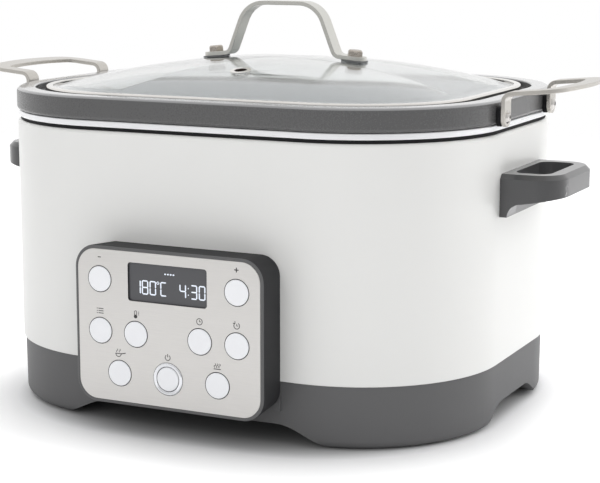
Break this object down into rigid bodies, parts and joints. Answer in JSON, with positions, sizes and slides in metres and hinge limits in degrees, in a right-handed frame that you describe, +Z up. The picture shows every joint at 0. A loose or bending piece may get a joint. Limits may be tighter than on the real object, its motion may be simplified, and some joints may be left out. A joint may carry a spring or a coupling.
{
  "type": "slow cooker",
  "caption": "Countertop slow cooker with a lift-out pot, a domed glass lid with a strip handle, side handles and a push-button panel with a display.",
  "frame": {"origin": "on the table, at the centre of the footprint", "axes": "+X to the user's right along the housing, -Y towards the control panel, +Z up"},
  "size_m": [0.447, 0.3204, 0.2744],
  "materials": {
    "shell_steel": "satin",
    "grey_plastic": "fine grain",
    "bezel_plastic": "satin",
    "black_rubber": "matt",
    "bright_steel": "polished",
    "brushed_steel": "brushed",
    "fascia_steel": "brushed",
    "zinc_steel": "zinc plated",
    "cast_aluminium": "as cast",
    "pot_coat": "satin coating",
    "lid_glass": "clear",
    "window": "tinted",
    "dark_plastic": "matt",
    "white_plastic": "satin",
    "ring_plastic": "frosted",
    "board": "solder mask",
    "ceramic": "glazed",
    "ribbon": "matt"
  },
  "bodies": {
    "housing": {"base": "grey_plastic", "rubber_feet": "black_rubber", "bottom_cover": "zinc_steel", "cover_screws": "zinc_steel", "base_screws": "zinc_steel", "outer_shell": "shell_steel", "shell_seal": "black_rubber", "heating_well": "bright_steel", "side_handle_left": "grey_plastic", "side_handle_right": "grey_plastic", "handle_screws": "zinc_steel", "tie_rods": "zinc_steel", "heat_shield": "zinc_steel", "bottom_heater": "cast_aluminium", "side_heater": "ceramic", "thermal_fuse": "ceramic", "sensor_sleeve": "ceramic", "sensor_spring": "bright_steel", "power_board": "board", "power_parts": "dark_plastic", "terminal_block": "ceramic", "cord_gland": "black_rubber", "panel_bezel": "bezel_plastic", "fascia_plate": "fascia_steel", "display_window": "window", "display_module": "dark_plastic", "start_ring": "ring_plastic", "button_carrier": "dark_plastic", "control_board": "board", "key_switches": "dark_plastic", "panel_screws": "zinc_steel", "panel_ribbon": "ribbon"},
    "pot": {"cooking_pot": "pot_coat", "pot_handle_left": "brushed_steel", "pot_handle_right": "brushed_steel", "pot_handle_pads": "dark_plastic", "pot_rivets": "bright_steel"},
    "lid": {"lid_glass": "lid_glass", "lid_rim": "bright_steel", "lid_handle": "brushed_steel", "lid_gaskets": "black_rubber", "lid_bolts": "bright_steel", "lid_nuts": "bright_steel", "steam_vent": "bright_steel"},
    "sensor": {"sensor_cap": "bright_steel"},
    "minus_key": {"minus_button": "white_plastic"},
    "plus_key": {"plus_button": "white_plastic"},
    "menu_key": {"menu_button": "white_plastic"},
    "temperature_key": {"temperature_button": "white_plastic"},
    "time_key": {"time_button": "white_plastic"},
    "delay_key": {"delay_button": "white_plastic"},
    "saute_key": {"saute_button": "white_plastic"},
    "start_key": {"start_button": "white_plastic"},
    "keep_warm_key": {"keep_warm_button": "white_plastic"}
  },
  "joints": [
    {"name": "pot_lift", "type": "slide", "parent": "housing", "child": "pot", "axis": [0, 0, 1], "range_m": [0, 0.16]},
    {"name": "lid_lift", "type": "slide", "parent": "pot", "child": "lid", "axis": [0, 0, 1], "range_m": [0, 0.12]},
    {"name": "sensor_press", "type": "slide", "parent": "housing", "child": "sensor", "axis": [0, 0, 1], "range_m": [-0.002, 0], "stiffness_N_per_m": 400, "springref_m": 0.003, "deforming": ["sensor_spring"]},
    {"name": "minus_press", "type": "slide", "parent": "housing", "child": "minus_key", "axis": [0, 1, 0], "range_m": [0, 0.0012], "stiffness_N_per_m": 1500, "springref_m": -0.0008},
    {"name": "plus_press", "type": "slide", "parent": "housing", "child": "plus_key", "axis": [0, 1, 0], "range_m": [0, 0.0012], "stiffness_N_per_m": 1500, "springref_m": -0.0008},
    {"name": "menu_press", "type": "slide", "parent": "housing", "child": "menu_key", "axis": [0, 1, 0], "range_m": [0, 0.0012], "stiffness_N_per_m": 1500, "springref_m": -0.0008},
    {"name": "temperature_press", "type": "slide", "parent": "housing", "child": "temperature_key", "axis": [0, 1, 0], "range_m": [0, 0.0012], "stiffness_N_per_m": 1500, "springref_m": -0.0008},
    {"name": "time_press", "type": "slide", "parent": "housing", "child": "time_key", "axis": [0, 1, 0], "range_m": [0, 0.0012], "stiffness_N_per_m": 1500, "springref_m": -0.0008},
    {"name": "delay_press", "type": "slide", "parent": "housing", "child": "delay_key", "axis": [0, 1, 0], "range_m": [0, 0.0012], "stiffness_N_per_m": 1500, "springref_m": -0.0008},
    {"name": "saute_press", "type": "slide", "parent": "housing", "child": "saute_key", "axis": [0, 1, 0], "range_m": [0, 0.0012], "stiffness_N_per_m": 1500, "springref_m": -0.0008},
    {"name": "start_press", "type": "slide", "parent": "housing", "child": "start_key", "axis": [0, 1, 0], "range_m": [0, 0.0012], "stiffness_N_per_m": 1500, "springref_m": -0.0008},
    {"name": "keep_warm_press", "type": "slide", "parent": "housing", "child": "keep_warm_key", "axis": [0, 1, 0], "range_m": [0, 0.0012], "stiffness_N_per_m": 1500, "springref_m": -0.0008}
  ]
}
